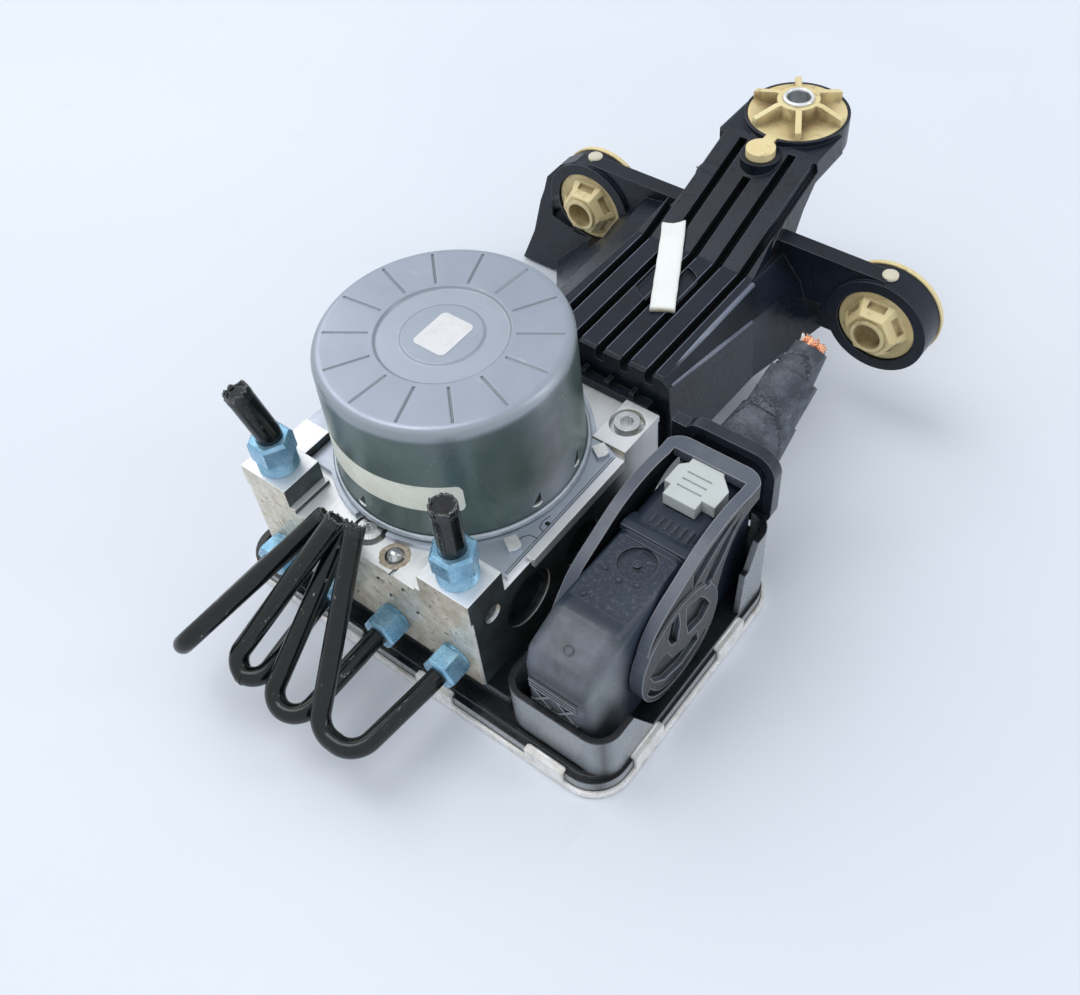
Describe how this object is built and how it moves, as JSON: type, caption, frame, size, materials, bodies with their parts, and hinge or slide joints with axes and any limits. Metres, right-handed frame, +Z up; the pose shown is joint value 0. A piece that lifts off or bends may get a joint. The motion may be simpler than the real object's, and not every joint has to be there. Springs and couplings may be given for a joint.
{
  "type": "abs brake module",
  "caption": "Anti-lock brake module: pump motor on a valve block, control unit with lever plug, cut brake pipes and a ribbed bracket with rubber-style bushes.",
  "frame": {"origin": "where the motor's axis meets the underside of the control unit's cover", "axes": "+Z up along the motor's axis, +X toward the lever plug, +Y toward the mounting bracket"},
  "size_m": [0.1789, 0.2922, 0.0964],
  "materials": {
    "cast_aluminium": "satin",
    "cover_aluminium": "satin",
    "can_steel": "satin",
    "flange_steel": "satin",
    "plated_steel": "satin",
    "screw_steel": "satin",
    "pipe_coating": "gloss",
    "black_plastic": "satin",
    "white_plastic": "satin",
    "bush_plastic": "satin",
    "tape": "matte",
    "copper": "satin",
    "foam": "matte",
    "paper": "matte",
    "board": "satin",
    "ferrite": "matte"
  },
  "bodies": {
    "module": {"accumulator_caps": "screw_steel", "ball_plugs": "screw_steel", "bracket_screws": "screw_steel", "brush_holder": "black_plastic", "brushes": "ferrite", "circuit_board": "board", "connector_pins": "copper", "copper_strands": "copper", "deck_screws": "screw_steel", "ecu_cover": "cover_aluminium", "ecu_housing": "black_plastic", "foam_strip": "foam", "harness_stub": "tape", "hcu_block": "cast_aluminium", "inlet_nuts": "plated_steel", "inlet_pipe_left": "pipe_coating", "inlet_pipe_right": "pipe_coating", "motor_can": "can_steel", "motor_flange": "flange_steel", "motor_label_top": "paper", "motor_magnets": "ferrite", "mounting_bracket": "black_plastic", "plug_collar": "black_plastic", "plug_hood": "black_plastic", "pump_pistons": "screw_steel", "pump_plugs": "screw_steel", "shaft_bearing": "screw_steel", "side_bush_left": "bush_plastic", "side_bush_right": "bush_plastic", "solenoid_coils": "screw_steel", "top_bush": "bush_plastic", "top_sleeve": "screw_steel", "valve_cartridges": "screw_steel", "wheel_nuts": "plated_steel", "wheel_pipe_1": "pipe_coating", "wheel_pipe_2": "pipe_coating", "wheel_pipe_3": "pipe_coating", "wheel_pipe_4": "pipe_coating"},
    "rotor": {"armature": "screw_steel", "commutator": "copper", "motor_shaft": "screw_steel", "eccentric_bearing": "screw_steel"},
    "lever": {"plug_lever": "black_plastic"},
    "lock": {"lever_lock": "white_plastic"},
    "reservoir_left": {"accumulator_piston_left": "screw_steel"},
    "reservoir_right": {"accumulator_piston_right": "screw_steel"}
  },
  "joints": [
    {"name": "motor_spin", "type": "hinge", "parent": "module", "child": "rotor", "pos_m": [0, 0, 0.07], "axis": [0, 0, 1], "continuous": true},
    {"name": "lever_swing", "type": "hinge", "parent": "module", "child": "lever", "pos_m": [0.0757, -0.013, 0.0295], "axis": [1, 0, 0], "range_deg": [0, 90]},
    {"name": "lock_slide", "type": "slide", "parent": "module", "child": "lock", "axis": [0, -1, 0], "range_m": [0, 0.004]},
    {"name": "reservoir_slide_left", "type": "slide", "parent": "module", "child": "reservoir_left", "axis": [-1, 0, 0], "range_m": [0, 0.008]},
    {"name": "reservoir_slide_right", "type": "slide", "parent": "module", "child": "reservoir_right", "axis": [1, 0, 0], "range_m": [0, 0.008]}
  ]
}
